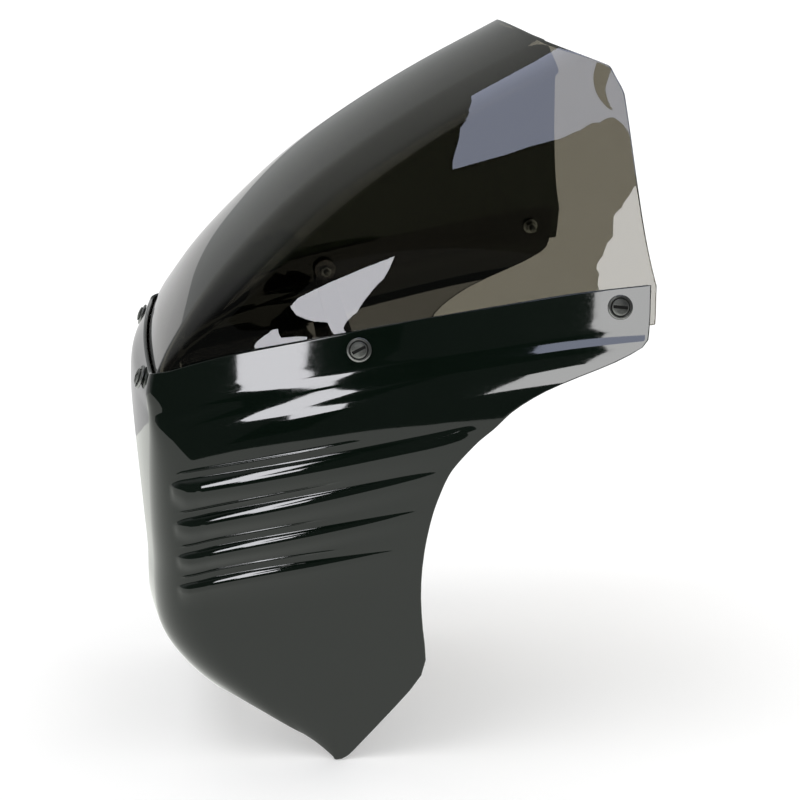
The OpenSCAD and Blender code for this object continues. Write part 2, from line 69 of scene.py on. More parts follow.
def bez(a, b, c, d, u):
    return a * (1 - u) ** 3 + 3 * b * u * (1 - u) ** 2 + 3 * c * u * u * (1 - u) + d * u**3


def unit(v):
    return v / np.maximum(np.linalg.norm(v, axis=-1, keepdims=True), 1e-12)


# ---------------------------------------------------------------- shell surface, mm
half_w_front, half_w_rear, shell_depth, wall, band_h = 149, 187, 364, 3, 31
side_top = [[15, 126], [72, 142], [128, 153.5], [174, 163], [216, 170.5], [260, 178], [310, 186], [365, 192]]
front_face = [[-130, 56], [-116, 44], [-105, 34], [-90, 22], [-75, 13], [-60, 8], [-40, 5.5], [-15, 4.5], [15, 2.2], [50, 0.5], [80, 0], [104, 0.2], [116, 2], [123, 6], [129.3, 10.5]]
front_bow = [[-130, 6], [-60, 8], [100, 8.5], [116, 6.5], [129.3, 3]]
rear_edge = [[-173, 150], [-171, 154], [-164, 160.5], [-141, 180], [-114, 202], [-102, 209], [-90, 211], [-68, 208.5], [-40, 206.5], [-10, 207.5], [20, 212], [40, 217.5], [60, 226], [81, 243], [92, 255], [106, 269], [119, 289], [128, 308.5], [139, 335], [146, 349], [151, 357], [158, 361.5], [192, 364]]
side_swell = [[0, 0], [10, 2.2], [20, 4.4], [30, 6.6], [34, 9], [40, 11.8], [50, 14.3], [62, 15.3], [78, 14.8], [100, 12.8], [140, 8], [200, -1], [260, -9], [330, -19]]
corner_r = [[0, 13], [20, 16], [34, 21], [60, 30], [100, 36], [170, 40], [250, 42]]
lower_edge = [[0, -124], [1, -122], [1.25, -120], [1.5, -119.5], [1.75, -131], [2, -152.5], [2.2, -166], [2.4, -171.5], [2.7, -173.5], [3, -173]]

# Each gill: where its crisp upper edge runs, how far down its crest lies, and how long it is
gill_front = [28.5, 31, 32, 32]
gill_tail = [240, 228, 208, 194]
gill_top = [59, 30.5, 6.5, -14.5]
gill_rise = [0.165, 0.18, 0.155, 0.115]
gill_bend = [
    [[28, -3], [39, -2.6], [119, -1.8], [207, 1.4], [240, 3.4]],
    [[28, -5], [37, -4], [60, -2.6], [119, -1.8], [207, 0.6], [228, 1]],
    [[28, -8], [37, -7], [60, -4.4], [119, -2.8], [208, -1.1]],
    [[28, -12], [37, -10.5], [60, -6.8], [119, -3.7], [194, -3.3]],
]
gill_crest = [
    [[28, 8], [40, 11], [119, 12.5], [200, 14], [240, 16]],
    [[28, 6.5], [40, 8.5], [119, 9.7], [205, 9], [228, 8]],
    [[28, 5.5], [40, 7.2], [119, 8.2], [208, 6.5]],
    [[28, 5], [40, 6.6], [119, 8], [180, 5], [194, 4]],
]
line_end = [160, 150, 142, 150]


def top_z(y):
    return curve(side_top, y)


def side_x(y, z):
    d = top_z(y) - z
    return mix(half_w_front, half_w_rear, (y - 21) / (shell_depth - 21)) - 0.04 * (np.clip(y, 0, 260) - 21) * (y > 21) * np.clip((d - 40) / 160, 0, 1) + curve(side_swell, d)


def face_y(x, z):
    zz = z + 3 * (x / 149) ** 2
    return curve(front_face, zz) + curve(front_bow, zz) * (x / 110) ** 2


def edge_z(c):
    return np.where(c <= 1, 129.3 - 3 * (c * 0.9) ** 2, np.where(c <= 2, mix(126.9, top_z(30), c - 1), top_z(mix(30, shell_depth, c - 2))))


def band_z(c):
    return edge_z(c) - band_h * np.where(c < 1, 0.9, np.where(c < 2, mix(0.9, 1, c - 1), 1))


def corner(z, d):
    r = curve(corner_r, d)
    xw = side_x(40.0, z)
    x0 = xw - r
    y0 = face_y(x0, z)
    y3 = y0 + r
    x3 = side_x(y3, z)
    s0 = (face_y(x0 + 1, z) - face_y(x0 - 1, z)) / 2
    s1 = (side_x(y3 + 1, z) - side_x(y3 - 1, z)) / 2
    k = 0.56
    return (x0, y0), (x0 + k * r, y0 + k * r * s0), (x3 - k * r * s1, y3 - k * r), (x3, y3)


def plan(c, z):
    """x and y of the plain surface at position c and height z."""
    k = corner(z, edge_z(c) - z)
    u = np.clip(c - 1, 0, 1)
    px = bez(k[0][0], k[1][0], k[2][0], k[3][0], u)
    py = bez(k[0][1], k[1][1], k[2][1], k[3][1], u)
    y = mix(k[3][1], curve(rear_edge, z), np.clip(c - 2, 0, 1))
    ax = c * k[0][0]
    X = np.where(c <= 1, ax, np.where(c <= 2, px, side_x(y, z)))
    Y = np.where(c <= 1, face_y(ax, z), np.where(c <= 2, py, y))
    return X, Y


def gill_z(k, y):
    yc = np.clip(y, gill_front[k] - 4, gill_tail[k] + 4)
    return gill_top[k] + gill_rise[k] * (yc - 39) + curve(gill_bend[k], np.clip(yc, 28, gill_bend[k][-1][0]))


def gill_drop(k, y):
    return curve(gill_crest[k], np.clip(y, 28, gill_crest[k][-1][0]))


def gills(y, z):
    best = 0 * (y + z)
    for k in range(4):
        u = np.clip((y - gill_front[k]) / (gill_tail[k] - gill_front[k]), 0, 1)
        length = np.minimum(1, np.sqrt(u * 20)) * (1 - u) ** 0.7
        H = gill_drop(k, y)
        nose = np.clip((y - gill_front[k]) / 9, 0, 1)
        nose = np.sqrt(nose * (2 - nose))
        mid = gill_z(k, y) - H * 0.62
        v = np.where(z > mid, (gill_z(k, y) - mid) / np.maximum(nose, 0.12), 0)
        w = np.where(z > mid, 0.62 * H - (z - mid) / np.maximum(nose, 0.12), gill_z(k, y) - z) / H
        up = w * (2.25 - 1.5 * w + 0.25 * w * w) * np.minimum(1, w * 5)
        s = np.clip((2.45 - w) / 1.45, 0, 1)
        down = s * s * (3 - 2 * s)
        a = np.where(w < 0, 0, np.where(w < 1, up, down))
        best = np.maximum(best, 6.3 * (H / 11.5) ** 0.8 * length * a)
    return best


def lines(y, z):
    """The fine raised line that runs above each gill."""
    out = 0 * (y + z)
    for k in range(4):
        w = z - gill_z(k, y) - 5.2 + 2.2 * np.clip((38 - y) / 6, 0, 1) ** 2
        fade = np.clip((y - gill_front[k] - 1) / 4, 0, 1) * np.clip((line_end[k] - y) / 60, 0, 1) ** 0.6
        out = out + 0.75 * fade * np.exp(-((w / 0.62) ** 2))
    return out


def roll(c, z):
    g3 = gill_top[3] + gill_rise[3] * (np.maximum(0, c - 2) * 165 + 6) - 24
    low = curve(lower_edge, c)
    b = np.clip((g3 - z) / (g3 - low), 0, 1)
    return 5 * b**6 * np.where(c > 2, np.maximum(0, 1 - (c - 2) / 0.4), 1)


def surface(c, z, relief=1.0, fine=True):
    X, Y = plan(c, z)
    q = roll(c, z)
    g = relief * gills(Y, z) + (lines(Y, z) if fine and relief > 0 else 0)
    g = np.where(c < 1.35, 0, g)
    fx = np.where(c <= 1, 0, np.where(c <= 2, -q * (c - 1) + g * 0.9, -q + g))
    fy = np.where(c <= 1, q, np.where(c <= 2, q * (2 - c) - g * 0.9 * (2 - c), 0))
    return np.stack([X + fx, Y + fy, z + 0 * X], -1)


def surface_n(c, z):
    e = 0.008
    c1, c0 = np.minimum(c + e, 3), np.maximum(c - e, 0)
    a = surface(c1, z, 0) - surface(c0, z, 0)
    b = surface(c, z + 0.4, 0) - surface(c, z - 0.4, 0)
    return unit(np.cross(a, b))


# Rows and columns of the shell
cols = np.concatenate([np.linspace(0, 0.86, 11)[:-1], [0.86, 0.93], np.linspace(1, 1.7, 18)[:-1], np.linspace(1.7, 2, 13)[:-1],
                       np.linspace(2, 2.14, 15)[:-1], np.linspace(2.14, 2.9, 58)[:-1], [2.9, 2.925, 2.95, 2.97, 2.985, 2.994, 3]])
IB = 10
above = [8, 6.8, 6.3, 5.95, 5.65, 5.4, 5.2, 5.0, 4.75, 4.45, 4.1, 3.5, 2.6, 1.7, 0.9, 0.35, 0]
below = [0.3, 0.7, 1.2, 1.8, 2.5, 3.3, 4.2, 5.2, 6.2, 7.2, 8.2, 9.2, 10.2, 11.4, 12.8]


def rows_of(c):
    e, b, low = edge_z(c), band_z(c), curve(lower_edge, c)
    T, H = [], []
    for k in range(4):
        z = gill_top[k] + 0 * c
        for _ in range(5):
            z = gill_z(k, plan(c, z)[1])
        T.append(z)
        H.append(gill_drop(k, plan(c, z)[1]))
    out = [mix(e, b, u) for u in [0, 0.012, 0.05, 0.12, 0.2, 0.3, 0.4, 0.5, 0.6, 0.7, 0.8, 0.9, 1]]
    top_row = len(out) - 1
    out += [mix(b, T[0] + above[0], u) for u in np.linspace(0, 1, 12)[1:-1]]
    for k in range(4):
        f = H[k] / 10
        if k < 3:
            f = np.minimum(f, (T[k] - T[k + 1] - above[0] - 1.2) / 12.8)
        out += [T[k] + a for a in above] + [T[k] - a * f for a in below]
        last = out[-1]
        if k < 3:
            out += [mix(last, T[k + 1] + above[0], u) for u in (0.34, 0.67)]
    stop = mix(last, low, 0.74)
    out += [mix(last, stop, u) for u in np.linspace(0, 1, 11)[1:]]
    bottom_row = len(out) - 1
    out += [mix(stop, low, u) for u in [0.2, 0.38, 0.54, 0.68, 0.79, 0.87, 0.93, 0.97, 0.99, 1]]
    return np.stack(out, -1), top_row, bottom_row


def face_out(bm):
    """Makes every face look outward, away from the solid."""
    bmesh.ops.recalc_face_normals(bm, faces=bm.faces)
    if bm.calc_volume(signed=True) < 0:
        bmesh.ops.reverse_faces(bm, faces=bm.faces)


def mesh_from(name, verts, faces, body, smooth=True):
    me = bpy.data.meshes.new(name)
    me.from_pydata([tuple(v) for v in (np.asarray(verts) * MM).tolist()], [], faces)
    bm = bmesh.new()
    bm.from_mesh(me)
    bmesh.ops.remove_doubles(bm, verts=bm.verts, dist=2e-6)
    face_out(bm)
    bm.to_mesh(me)
    bm.free()
    me.polygons.foreach_set("use_smooth", [smooth] * len(me.polygons))
    me.update()
    ob = bpy.data.objects.new(name, me)
    bpy.context.scene.collection.objects.link(ob)
    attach(ob, body)
    return ob


def grid_faces(index):
    """Quads over a 2D array of vertex numbers."""
    a, b, c, d = index[:-1, :-1], index[1:, :-1], index[1:, 1:], index[:-1, 1:]
    return np.stack([a, b, c, d], -1).reshape(-1, 4).tolist()


def rim(verts, faces, outer_ids, inner_ids, P, Q, out_dir, bulge, steps=(0.06, 0.2, 0.5, 0.8, 0.94)):
    """Joins two matching closed loops of points by a rounded wall."""
    prev = list(outer_ids)
    n = len(prev)
    for t in steps:
        s = math.sqrt(max(0.0, 1 - (2 * t - 1) ** 2))
        ring = mix(P, Q, t) + out_dir * bulge * s
        ids = list(range(len(verts), len(verts) + n))
        verts.extend(ring.tolist())
        faces.extend([[prev[i], prev[(i + 1) % n], ids[(i + 1) % n], ids[i]] for i in range(n)])
        prev = ids
    faces.extend([[prev[i], prev[(i + 1) % n], inner_ids[(i + 1) % n], inner_ids[i]] for i in range(n)])


def border(w, h):
    loop = [(i, 0) for i in range(w)] + [(w - 1, j) for j in range(1, h)]
    loop += [(i, h - 1) for i in range(w - 2, -1, -1)] + [(0, j) for j in range(h - 2, 0, -1)]
    return loop


def border_out(G, loop, w, h):
    """Directions that lead off the edge of a grid."""
    out = []
    for i, j in loop:
        d = np.zeros(3)
        if i == 0:
            d += unit(G[0, j] - G[2, j])
        if i == w - 1:
            d += unit(G[w - 1, j] - G[w - 3, j])
        if j == 0:
            d += unit(G[i, 0] - G[i, 2])
        if j == h - 1:
            d += unit(G[i, h - 1] - G[i, h - 3])
        out.append(unit(d))
    return np.array(out)


def mirror_grid(G):
    L = G[::-1].copy()
    L[..., 0] *= -1
    return np.concatenate([L, G[1:]], 0)


def build_shell():
    C = cols[:, None]
    Z, jt, jb = rows_of(cols)
    Cg = np.broadcast_to(C, Z.shape)
    outer = surface(Cg, Z)
    N = surface_n(Cg, Z)
    N = np.where((N[..., :1] < -0.2), -N, N)
    plain = surface(Cg, Z, 0)
    inner = mix(plain, surface(Cg, Z, 1, False), 0.7) - wall * N
    outer[0, :, 0] = 0
    inner[0, :, 0] = 0
    O, I = mirror_grid(outer), mirror_grid(inner)
    w, h = O.shape[:2]
    mid = len(cols) - 1
    ids_o = np.arange(w * h).reshape(w, h)
    ids_i = ids_o + w * h
    verts = O.reshape(-1, 3).tolist() + I.reshape(-1, 3).tolist()
    faces = []
    i0, i1 = mid - IB, mid + IB
    for ids in (ids_o, ids_i):
        for f in (grid_faces(ids[: i0 + 1]), grid_faces(ids[i1:]), grid_faces(ids[i0 : i1 + 1, : jt + 1]), grid_faces(ids[i0 : i1 + 1, jb:])):
            faces.extend(f)
    loop = border(w, h)
    P = np.array([O[i, j] for i, j in loop])
    Q = np.array([I[i, j] for i, j in loop])
    rim(verts, faces, [int(ids_o[i, j]) for i, j in loop], [int(ids_i[i, j]) for i, j in loop], P, Q, border_out(O, loop, w, h), 0.9)
    # The face round the headlight opening
    sub = border(i1 - i0 + 1, jb - jt + 1)
    sub = [(i + i0, j + jt) for i, j in sub]
    edge = np.array([O[i, j] for i, j in sub])
    edge_in = np.array([I[i, j] for i, j in sub])
    ang = np.arctan2(edge[:, 2], edge[:, 0])
    R = 92.0
    rings_o, rings_i = [], []
    us = [0.16, 0.34, 0.52, 0.7, 0.84, 0.93, 0.98, 1.0]
    for u in us:
        x = mix(edge[:, 0], R * np.cos(ang), u)
        z = mix(edge[:, 2], R * np.sin(ang), u)
        base = face_y(np.abs(edge[:, 0]), edge[:, 2])
        y = face_y(np.abs(x), z) + (edge[:, 1] - base) * (1 - u)
        p = np.stack([x, y, z], -1)
        gx = (face_y(np.abs(x) + 0.5, z) - face_y(np.abs(x) - 0.5, z)) * np.sign(x)
        gz = face_y(np.abs(x), z + 0.5) - face_y(np.abs(x), z - 0.5)
        n = unit(np.stack([gx, -np.ones_like(gx), gz], -1))
        off = np.linalg.norm(edge_in - edge, axis=-1, keepdims=True)
        q = p - n * wall
        q = mix(q + (edge_in - (edge - wall * n)) * 0, q, 1.0)
        rings_o.append(p)
        rings_i.append(q)
    prev_o = [int(ids_o[i, j]) for i, j in sub]
    prev_i = [int(ids_i[i, j]) for i, j in sub]
    n = len(sub)
    for p, q in zip(rings_o, rings_i):
        a = list(range(len(verts), len(verts) + n))
        verts.extend(p.tolist())
        b = list(range(len(verts), len(verts) + n))
        verts.extend(q.tolist())
        for prev, cur in ((prev_o, a), (prev_i, b)):
            faces.extend([[prev[i], prev[(i + 1) % n], cur[(i + 1) % n], cur[i]] for i in range(n)])
        prev_o, prev_i = a, b
    P, Q = rings_o[-1], rings_i[-1]
    d = -unit(P * np.array([1, 0, 1.0]))
    rim(verts, faces, prev_o, prev_i, P, Q, -d * -1, 0.8)
    return mesh_from("shell_moulding", verts, faces, "fairing")


# ---------------------------------------------------------------- screen surface, mm
mid_t = [[0, 14.8, 129.5], [0.08, 24.5, 150], [0.2, 48.5, 186], [0.35, 83, 223], [0.5, 124, 261], [0.65, 170, 294.5], [0.8, 224, 328], [1, 288, 362.4]]
edge_t = [[0, 147, 22.5, 130], [0.08, 146, 33, 147], [0.2, 143.5, 58, 178], [0.35, 139, 92, 213.5], [0.5, 134.5, 133, 250], [0.65, 129.5, 178, 281.5], [0.8, 124, 232, 313.5], [1, 117, 308.5, 351.5]]
rear_t = [[0, 183.5, 366.3, 192], [0.25, 170.5, 362.2, 228], [0.5, 157.5, 358.6, 263.5], [0.75, 143, 355.6, 299.5], [1, 127.5, 352.5, 335]]
round_t = [[0, 9], [0.1, 20], [0.3, 34], [0.6, 34], [1, 26]]
SHEET, OFFS = 3.0, 4.0
C0, T0 = 2.52, 0.885


def col(t, i):
    return [[a[0], a[i]] for a in t]


def section(c, t):
    F = np.stack([0 * t, curve(col(mid_t, 1), t), curve(col(mid_t, 2), t)], -1)
    K = np.stack([curve(col(edge_t, i), t) for i in (1, 2, 3)], -1)
    R = np.stack([curve(col(rear_t, i), t) for i in (1, 2, 3)], -1)
    r = curve(round_t, t)[..., None]
    c = c[..., None]
    kx = K[..., :1]
    x1 = kx - r
    D = (K - F) * np.array([0, 1, 1.0])

    def front(x):
        q = F + D * (x / kx) ** 2
        q = q.copy()
        q[..., 0] = (x + 0 * kx)[..., 0]
        return q

    A = front(x1)
    TA = 2 * x1 / kx**2 * D + np.array([1.0, 0, 0])
    L = np.linalg.norm(R - K, axis=-1, keepdims=True)
    v1 = r / L
    h = (1 - (1 - np.clip(t / 0.45, 0, 1)) ** 2)[..., None] * 3.5
    out = np.array([1.0, 0, 0.3])

    def side(v):
        return K + (R - K) * v + out * (h * 4 * v * (1 - v))

    B = side(v1)
    TB = (R - K) / L + out * (h * 4 * (1 - 2 * v1) / L)
    return np.where(c <= 1, front(c * x1), np.where(c <= 2, bez(A, A + TA * 0.56 * r, B - TB * 0.56 * r, B, c - 1), side(v1 + (1 - v1) * (c - 2))))


def rear_back(c):
    return np.where(c > 2.6, 4.5 * ((c - 2.6) / 0.4) ** 2, 0)


def band_pt(c, r):
    z = mix(edge_z(c), band_z(c), r)
    q = surface(c, z, 0) - OFFS * surface_n(c, z)
    q = q.copy()
    q[..., 1] += rear_back(c)
    return q


def screen_raw(c, t):
    tt = np.maximum(t, 0)
    S = section(c, tt)
    S = S + (band_pt(c, 0 * tt) - section(c, 0 * tt)) * (np.maximum(0, 1 - tt / 0.42) ** 3)[..., None]
    return np.where((t <= 0)[..., None], band_pt(c, np.clip(-t, 0, 1) * 0.84), S)


def build_screen():
    cc = np.concatenate([np.linspace(0, 1, 22)[:-1], np.linspace(1, 2, 30)[:-1], np.linspace(2, 2.94, 44)[:-1], [2.94, 2.965, 2.985, 2.995, 3]])
    ts = np.concatenate([np.linspace(-1, 0, 11)[:-1], np.linspace(0, 0.25, 26)[:-1], np.linspace(0.25, 0.95, 52)[:-1], [0.95, 0.966, 0.98, 0.99, 0.996, 1]])
    ts = np.concatenate([[-1, -0.99], ts[1:]])
    C, T = np.meshgrid(cc, ts, indexing="ij")
    u = np.maximum(0, (C - C0) / (3 - C0))
    v = np.maximum(0, (T - T0) / (1 - T0))
    ce = np.where(u > 0, C0 + (3 - C0) * u * np.sqrt(1 - v * v / 2), C)
    te = np.where(v > 0, T0 + (1 - T0) * v * np.sqrt(1 - u * u / 2), T)
    P = screen_raw(ce, te)
    e = 0.006
    a = screen_raw(np.minimum(ce + e, 3), te) - screen_raw(np.maximum(ce - e, 0), te)
    lo = np.where(te > 0, np.maximum(te - e, 1e-4), te - e)
    hi = np.where(te > 0, np.minimum(te + e, 1), np.minimum(te + e, 0))
    b = screen_raw(ce, hi) - screen_raw(ce, np.maximum(lo, -1))
    N = unit(np.cross(a, b))
    zb = mix(edge_z(ce), band_z(ce), np.clip(-te, 0, 1) * 0.84)
    N = np.where((te <= 0)[..., None], surface_n(ce, zb), N)
    P[0, :, 0] = 0
    N[0, :, 0] = 0
    N = unit(N)
    inner = P - SHEET * N
    O, I = mirror_grid(P), mirror_grid(inner)
    w, h = O.shape[:2]
    ids_o = np.arange(w * h).reshape(w, h)
    ids_i = ids_o + w * h
    verts = O.reshape(-1, 3).tolist() + I.reshape(-1, 3).tolist()
    faces = grid_faces(ids_o) + grid_faces(ids_i)
    loop = border(w, h)
    rim(verts, faces, [int(ids_o[i, j]) for i, j in loop], [int(ids_i[i, j]) for i, j in loop],
        np.array([O[i, j] for i, j in loop]), np.array([I[i, j] for i, j in loop]), border_out(O, loop, w, h), 0.7)
    return mesh_from("screen_sheet", verts, faces, "fairing")


# ---------------------------------------------------------------- materials
def new_mat(name):
    m = bpy.data.materials.new(name)
    m.use_nodes = True
    nt = m.node_tree
    nt.nodes.clear()
    out = nt.nodes.new("ShaderNodeOutputMaterial")
    bs = nt.nodes.new("ShaderNodeBsdfPrincipled")
    nt.links.new(bs.outputs[0], out.inputs[0])
    tc = nt.nodes.new("ShaderNodeTexCoord")
    return m, nt, bs, out, tc


def noise(nt, vec, scale, detail=4.0, rough=0.55, stretch=None):
    if stretch is not None:
        mp = nt.nodes.new("ShaderNodeMapping")
        mp.inputs["Scale"].default_value = stretch
        nt.links.new(vec, mp.inputs["Vector"])
        vec = mp.outputs[0]
    n = nt.nodes.new("ShaderNodeTexNoise")
    n.inputs["Scale"].default_value = scale
    n.inputs["Detail"].default_value = detail
    n.inputs["Roughness"].default_value = rough
    nt.links.new(vec, n.inputs["Vector"])
    return n.outputs["Fac"]


def ramp(nt, fac, stops):
    r = nt.nodes.new("ShaderNodeValToRGB")
    el = r.color_ramp.elements
    el[0].position, el[0].color = stops[0][0], (*stops[0][1], 1)
    el[1].position, el[1].color = stops[-1][0], (*stops[-1][1], 1)
    for p, c in stops[1:-1]:
        e = el.new(p)
        e.color = (*c, 1)
    nt.links.new(fac, r.inputs[0])
    return r.outputs[0]


def remap(nt, fac, lo, hi, a=0.3, b=0.7):
    r = nt.nodes.new("ShaderNodeMapRange")
    r.inputs["From Min"].default_value = a
    r.inputs["From Max"].default_value = b
    r.inputs["To Min"].default_value = lo
    r.inputs["To Max"].default_value = hi
    nt.links.new(fac, r.inputs["Value"])
    return r.outputs[0]


def bump(nt, height, strength, distance, normal=None):
    b = nt.nodes.new("ShaderNodeBump")
    b.inputs["Strength"].default_value = strength
    b.inputs["Distance"].default_value = distance
    nt.links.new(height, b.inputs["Height"])
    if normal is not None:
        nt.links.new(normal, b.inputs["Normal"])
    return b.outputs[0]


def math_node(nt, op, a, b=None, clamp=False):
    m = nt.nodes.new("ShaderNodeMath")
    m.operation = op
    m.use_clamp = clamp
    for i, v in enumerate((a, b)):
        if v is None:
            continue
        if isinstance(v, (int, float)):
            m.inputs[i].default_value = v
        else:
            nt.links.new(v, m.inputs[i])
    return m.outputs[0]


def gloss_black():
    m, nt, bs, out, tc = new_mat("gloss_black_plastic")
    v = tc.outputs["Object"]
    big = noise(nt, v, 9.0, 3)
    nt.links.new(ramp(nt, big, [(0.3, (0.0022, 0.0046, 0.0030)), (0.7, (0.0034, 0.0060, 0.0042))]), bs.inputs["Base Color"])
    fine = noise(nt, v, 420.0, 5)
    dust = noise(nt, v, 2600.0, 2)
    rough = math_node(nt, "ADD", remap(nt, fine, 0.022, 0.05), remap(nt, dust, 0.0, 0.10, 0.70, 0.80))
    nt.links.new(rough, bs.inputs["Roughness"])
    bs.inputs["IOR"].default_value = 1.5
    wave = noise(nt, v, 26.0, 2)
    n1 = bump(nt, wave, 0.12, 0.0002)
    n2 = bump(nt, fine, 0.08, 0.00001, n1)
    nt.links.new(n2, bs.inputs["Normal"])
    return m


def acrylic():
    m, nt, bs, out, tc = new_mat("smoked_sheet")
    v = tc.outputs["Object"]
    cloud = noise(nt, v, 7.0, 2)
    tint = ramp(nt, cloud, [(0.3, (0.132, 0.121, 0.092)), (0.7, (0.142, 0.130, 0.100))])
    # painted shade: once a ray has already passed the near pane (transmission depth above 1.5), the sheet's colour
    # turns almost black, standing in for the shaded inside of the fairing seen through both panes
    path = nt.nodes.new("ShaderNodeLightPath")
    far_pane_shade_mask = math_node(nt, "GREATER_THAN", path.outputs["Transmission Depth"], 1.5)
    layer = nt.nodes.new("ShaderNodeMix")
    layer.data_type = "RGBA"
    nt.links.new(far_pane_shade_mask, layer.inputs["Factor"])
    nt.links.new(tint, layer.inputs[6])
    layer.inputs[7].default_value = (0.016, 0.022, 0.014, 1)
    nt.links.new(layer.outputs[2], bs.inputs["Base Color"])
    bs.inputs["Transmission Weight"].default_value = 1.0
    bs.inputs["IOR"].default_value = 1.49
    # hairline scratches: thin bands of a stretched pattern
    w = nt.nodes.new("ShaderNodeTexNoise")
    mp = nt.nodes.new("ShaderNodeMapping")
    mp.inputs["Rotation"].default_value = (0.55, 0.1, 0.0)
    mp.inputs["Scale"].default_value = (6.0, 5.0, 900.0)
    nt.links.new(v, mp.inputs["Vector"])
    nt.links.new(mp.outputs[0], w.inputs["Vector"])
    w.inputs["Scale"].default_value = 1.0
    w.inputs["Detail"].default_value = 1.0
    hair = remap(nt, w.outputs["Fac"], 0.0, 1.0, 0.80, 0.84)
    smear = noise(nt, v, 14.0, 4, stretch=(1, 1, 2.5))
    rough = math_node(nt, "ADD", remap(nt, smear, 0.0, 0.003), math_node(nt, "MULTIPLY", hair, 0.12))
    nt.links.new(rough, bs.inputs["Roughness"])
    tr = nt.nodes.new("ShaderNodeBsdfTransparent")
    tr.inputs[0].default_value = (0.40, 0.37, 0.32, 1)
    lp = nt.nodes.new("ShaderNodeLightPath")
    mx = nt.nodes.new("ShaderNodeMixShader")
    nt.links.new(lp.outputs["Is Shadow Ray"], mx.inputs[0])
    nt.links.new(bs.outputs[0], mx.inputs[1])
    nt.links.new(tr.outputs[0], mx.inputs[2])
    nt.links.new(mx.outputs[0], out.inputs[0])
    return m


def metal(name, dark, light, rough=(0.25, 0.45), scale=900.0, stretch=None, metallic=1.0, edge=None, bump_d=0.00004, strength=0.35):
    m, nt, bs, out, tc = new_mat(name)
    v = tc.outputs["Object"]
    a = noise(nt, v, scale, 6, 0.6, stretch)
    b = noise(nt, v, scale * 0.18, 3)
    blend = math_node(nt, "ADD", math_node(nt, "MULTIPLY", a, 0.55), math_node(nt, "MULTIPLY", b, 0.45))
    colour = ramp(nt, blend, [(0.32, dark), (0.5, mix(np.array(dark), np.array(light), 0.6).tolist()), (0.68, light)])
    if edge is not None:
        geo = nt.nodes.new("ShaderNodeNewGeometry")
        worn = remap(nt, math_node(nt, "ADD", geo.outputs["Pointiness"], math_node(nt, "MULTIPLY", a, 0.05)), 0.0, 1.0, 0.56, 0.62)
        mxn = nt.nodes.new("ShaderNodeMix")
        mxn.data_type = "RGBA"
        nt.links.new(worn, mxn.inputs["Factor"])
        nt.links.new(colour, mxn.inputs[6])
        mxn.inputs[7].default_value = (*edge, 1)
        colour = mxn.outputs[2]
    nt.links.new(colour, bs.inputs["Base Color"])
    bs.inputs["Metallic"].default_value = metallic
    nt.links.new(remap(nt, a, rough[0], rough[1]), bs.inputs["Roughness"])
    nt.links.new(bump(nt, a, strength, bump_d), bs.inputs["Normal"])
    return m


M_shell = gloss_black()
M_sheet = acrylic()
M_screw = metal("dark_zinc_screw", (0.17, 0.175, 0.17), (0.42, 0.43, 0.415), (0.42, 0.62), 1500.0, bump_d=0.00005, strength=0.35)
M_cup = metal("cup_washer_metal", (0.24, 0.245, 0.24), (0.42, 0.425, 0.415), (0.3, 0.45), 1200.0, bump_d=0.00003, strength=0.25)
# painted shade: a near-black, rough material laid on the screw slots and the wells of the cup washers, standing in
# for the shade inside these recesses
M_recess_shade = metal("painted_recess_shade", (0.004, 0.004, 0.0038), (0.016, 0.016, 0.015), (0.6, 0.85), 1400.0, metallic=0.0, bump_d=0.00005, strength=0.3)
M_rubber = metal("black_rubber", (0.012, 0.012, 0.012), (0.03, 0.029, 0.028), (0.55, 0.8), 1100.0, metallic=0.0, bump_d=0.00012, strength=0.5)
M_stay = metal("black_paint_on_steel", (0.014, 0.014, 0.015), (0.03, 0.03, 0.031), (0.3, 0.5), 1300.0, metallic=0.0, edge=(0.22, 0.21, 0.2), bump_d=0.00008, strength=0.4)
M_clamp = metal("black_anodised_clamp", (0.016, 0.016, 0.018), (0.035, 0.035, 0.038), (0.34, 0.52), 2200.0, metallic=0.6, edge=(0.3, 0.3, 0.3), bump_d=0.00005, strength=0.4)
M_steel = metal("plain_steel", (0.30, 0.30, 0.29), (0.56, 0.555, 0.54), (0.22, 0.4), 1100.0)
M_zinc = metal("zinc_plate", (0.33, 0.34, 0.33), (0.55, 0.56, 0.55), (0.25, 0.45), 900.0)


# ---------------------------------------------------------------- screws and cup washers
def seat(c, r, side):
    """Where a screw sits: its point on the shell and the outward direction."""
    c = np.array([float(c)])
    z = mix(edge_z(c), band_z(c), r)
    p = surface(c, z, 0)[0]
    n = surface_n(c, z)[0]
    return Vector((p[0] * side, p[1], p[2])), Vector((n[0] * side, n[1], n[2])).normalized()


def lathe(bm, profile, turns, frame_m, closed=True):
    """Revolves a closed profile (radius, height) about the frame's Z."""
    rings = []
    for k in range(turns):
        a = 2 * math.pi * k / turns
        rings.append([bm.verts.new(frame_m @ Vector((r * math.cos(a) * MM, r * math.sin(a) * MM, z * MM))) for r, z in profile])
    n = len(profile)
    for k in range(turns):
        A, B = rings[k], rings[(k + 1) % turns]
        for i in range(n if closed else n - 1):
            j = (i + 1) % n
            f = bm.faces.new([A[i], A[j], B[j], B[i]])
            # painted shade: the faces of the washer's inner well take the near-black recess material
            if 5.0 < profile[i][0] < 6.5 and 5.0 < profile[j][0] < 6.5:
                f.material_index = 1


SEATS = []
for side in (-1, 1):
    for c, r, spin in ((0.8, 0.34, 40), (2.4, 0.45, 27), (2.936, 0.40, -5)):
        SEATS.append((side, c, r, spin if side > 0 else -spin - 35))


def seat_matrix(side, c, r, spin):
    p, n = seat(c, r, side)
    up = Vector((0, 0, 1))
    y = (up - n * up.dot(n)).normalized()
    x = y.cross(n)
    rot = Matrix((x, y, n)).transposed().to_4x4()
    return Matrix.Translation(p * MM) @ rot @ Matrix.Rotation(math.radians(spin), 4, "Z")


